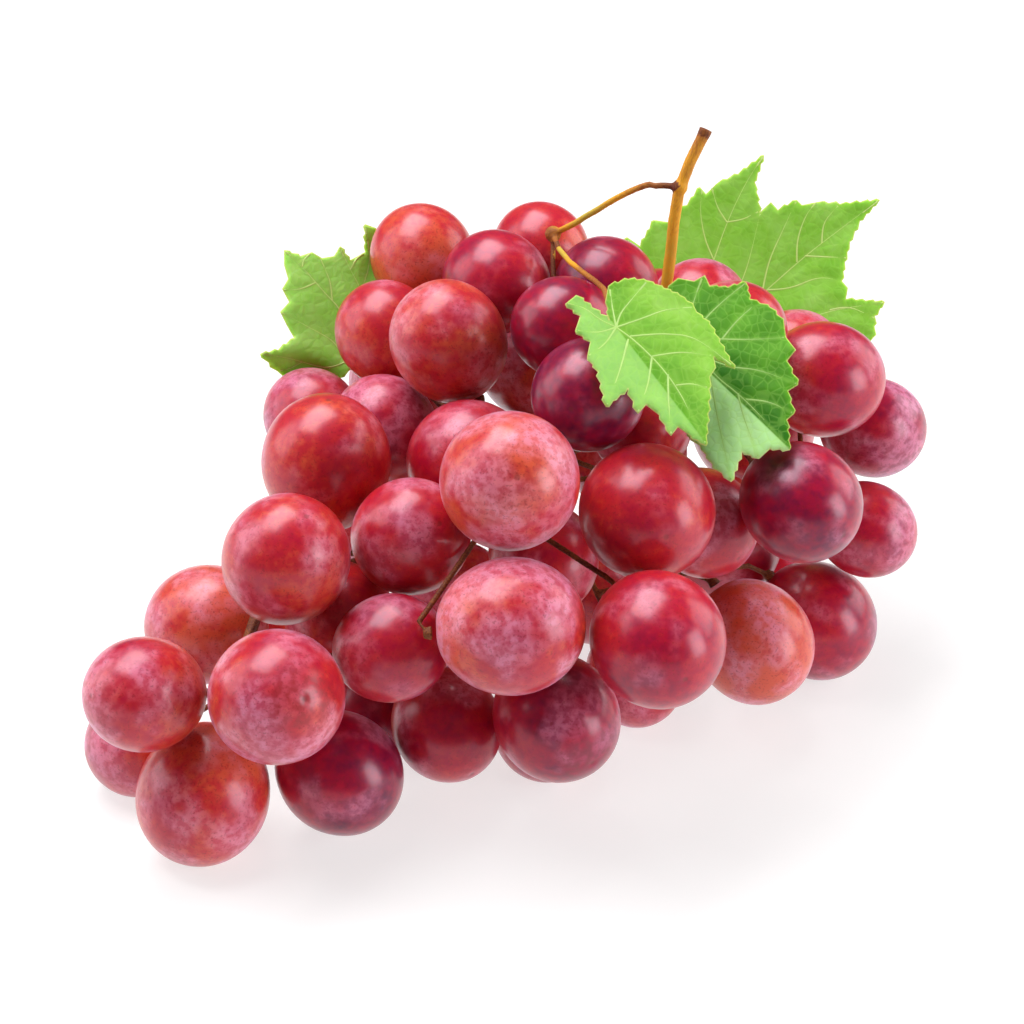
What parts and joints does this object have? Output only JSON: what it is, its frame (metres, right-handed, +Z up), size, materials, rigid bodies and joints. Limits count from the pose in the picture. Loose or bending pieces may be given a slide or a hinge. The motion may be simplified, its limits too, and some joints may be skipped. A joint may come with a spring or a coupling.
{
  "type": "bunch of grapes",
  "caption": "Bunch of red table grapes lying on its side: round berries packed on a branching stem, with its cut end standing out and serrated vine leaves tucked in front and behind.",
  "frame": {"origin": "on the surface that the bunch lies on, under the middle of its bounding box", "axes": "+X to the viewer's right, along the bunch from its tip to its shoulder; +Y away from the viewer; +Z up"},
  "size_m": [0.1652, 0.1504, 0.1105],
  "materials": {
    "berry_skin": "smooth crimson skin under a thin pale waxy bloom",
    "stem_bark": "tan to olive woody stalk, matte",
    "leaf_blade": "soft green blade with pale veins"
  },
  "bodies": {
    "root": {"berry_tip_1": "berry_skin", "berry_tip_2": "berry_skin", "berry_tip_3": "berry_skin", "berry_tip_4": "berry_skin", "berry_tip_5": "berry_skin", "berry_tip_6": "berry_skin", "berry_tip_7": "berry_skin", "berry_tip_8": "berry_skin", "berry_low_1": "berry_skin", "berry_low_2": "berry_skin", "berry_low_3": "berry_skin", "berry_low_4": "berry_skin", "berry_low_5": "berry_skin", "berry_low_6": "berry_skin", "berry_flank_1": "berry_skin", "berry_flank_2": "berry_skin", "berry_flank_3": "berry_skin", "berry_flank_4": "berry_skin", "berry_flank_5": "berry_skin", "berry_flank_6": "berry_skin", "berry_flank_7": "berry_skin", "berry_flank_8": "berry_skin", "berry_flank_9": "berry_skin", "berry_flank_10": "berry_skin", "berry_flank_11": "berry_skin", "berry_crown_1": "berry_skin", "berry_crown_2": "berry_skin", "berry_crown_3": "berry_skin", "berry_crown_4": "berry_skin", "berry_crown_5": "berry_skin", "berry_crown_6": "berry_skin", "berry_crown_7": "berry_skin", "berry_crown_8": "berry_skin", "berry_crown_9": "berry_skin", "berry_crown_10": "berry_skin", "berry_crown_11": "berry_skin", "berry_crown_12": "berry_skin", "berry_crown_13": "berry_skin", "berry_shoulder_1": "berry_skin", "berry_shoulder_2": "berry_skin", "berry_shoulder_3": "berry_skin", "berry_shoulder_4": "berry_skin", "berry_shoulder_5": "berry_skin", "berry_shoulder_6": "berry_skin", "berry_far_1": "berry_skin", "berry_far_2": "berry_skin", "berry_far_3": "berry_skin", "berry_far_4": "berry_skin", "berry_far_5": "berry_skin", "berry_far_6": "berry_skin", "berry_far_7": "berry_skin", "berry_far_8": "berry_skin", "berry_far_9": "berry_skin", "berry_far_10": "berry_skin", "berry_far_11": "berry_skin", "stem": "stem_bark", "leaf_front_light": "leaf_blade", "leaf_front_dark": "leaf_blade", "leaf_back_left": "leaf_blade", "leaf_back_right": "leaf_blade"}
  },
  "joints": []
}
